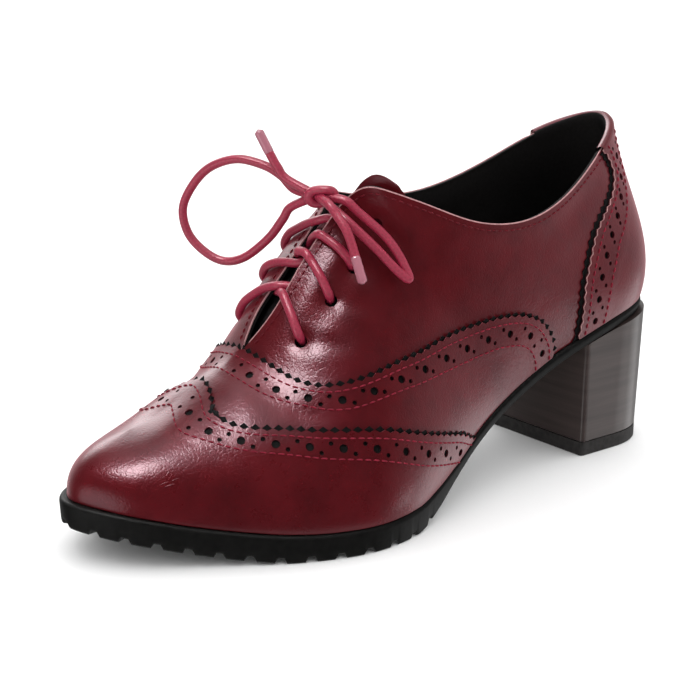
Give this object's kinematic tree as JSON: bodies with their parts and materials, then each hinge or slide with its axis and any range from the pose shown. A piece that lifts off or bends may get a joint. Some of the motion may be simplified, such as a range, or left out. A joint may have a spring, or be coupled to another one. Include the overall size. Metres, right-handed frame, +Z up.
{
  "type": "heeled lace-up brogue shoe",
  "caption": "Women's lace-up brogue: hollow leather upper with wing toe cap, vamp and counter overlays, tongue, lace with bow, lugged rubber sole and block heel.",
  "frame": {"origin": "on the floor, under the middle of the shoe's bounding box, the free bow left out", "axes": "+Z up, toe to -Y, heel to +Y, outer side of the foot to +X"},
  "size_m": [0.0924, 0.2417, 0.1272],
  "materials": {
    "leather": "polished burgundy",
    "sole": "matte black",
    "heel": "dark stained, satin",
    "heel_tip": "matte",
    "insole": "matte black",
    "lace": "waxed round cord",
    "aglet": "translucent pink"
  },
  "bodies": {
    "root": {"outsole": "sole", "heel": "heel", "heel_tip": "heel_tip", "insole": "insole", "upper": "leather", "toe_cap": "leather", "vamp": "leather", "heel_counter": "leather", "tongue": "leather", "lace_cross_1": "lace", "lace_cross_2": "lace", "lace_cross_3": "lace", "lace_knot": "lace", "lace_loop_inner": "lace", "lace_loop_outer": "lace", "lace_end_inner": "lace", "lace_end_outer": "lace", "aglet_inner": "aglet", "aglet_outer": "aglet"}
  },
  "joints": []
}
